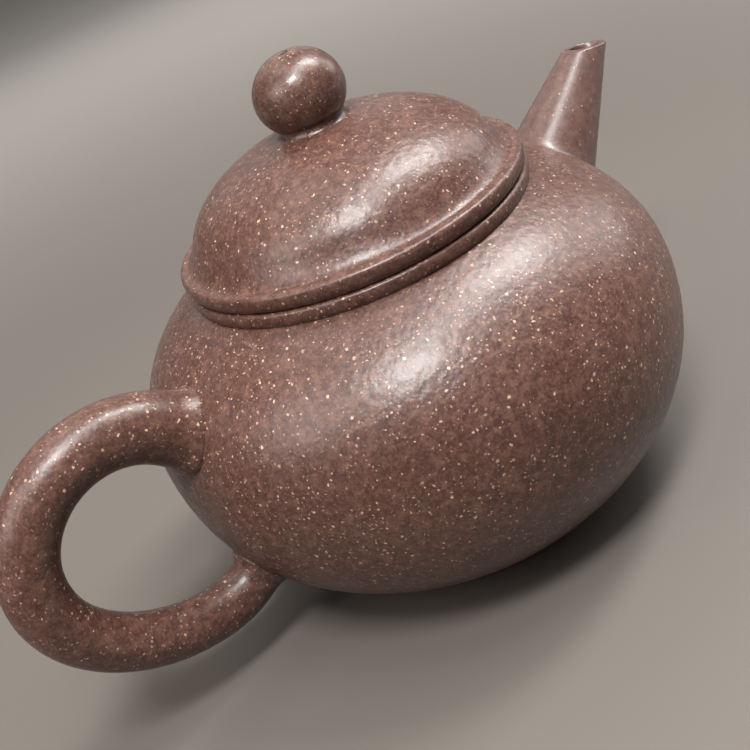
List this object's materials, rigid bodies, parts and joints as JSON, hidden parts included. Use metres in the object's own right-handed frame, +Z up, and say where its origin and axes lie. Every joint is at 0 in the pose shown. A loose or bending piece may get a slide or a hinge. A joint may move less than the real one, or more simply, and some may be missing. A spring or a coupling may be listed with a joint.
{
  "type": "teapot",
  "caption": "Small round hand-built clay teapot with a straight spout, ear-shaped handle and a lift-off domed lid with ball knob.",
  "frame": {"origin": "centre of the foot ring on the plane that the pot stands on", "axes": "+Z up along the pot's axis, +X towards the spout, handle towards -X"},
  "size_m": [0.1327, 0.086, 0.0784],
  "materials": {
    "purple_clay": "satin"
  },
  "bodies": {
    "pot": {"body_wall": "purple_clay", "shoulder_disc": "purple_clay", "base_disc": "purple_clay", "foot_ring": "purple_clay", "mouth_ring": "purple_clay", "spout": "purple_clay", "strainer": "purple_clay", "handle": "purple_clay"},
    "lid": {"lid_dome": "purple_clay", "lid_rim": "purple_clay", "lid_flange": "purple_clay", "knob": "purple_clay"}
  },
  "joints": [
    {"name": "lid_lift", "type": "slide", "parent": "pot", "child": "lid", "axis": [0, 0, 1], "range_m": [0, 0.06]}
  ]
}
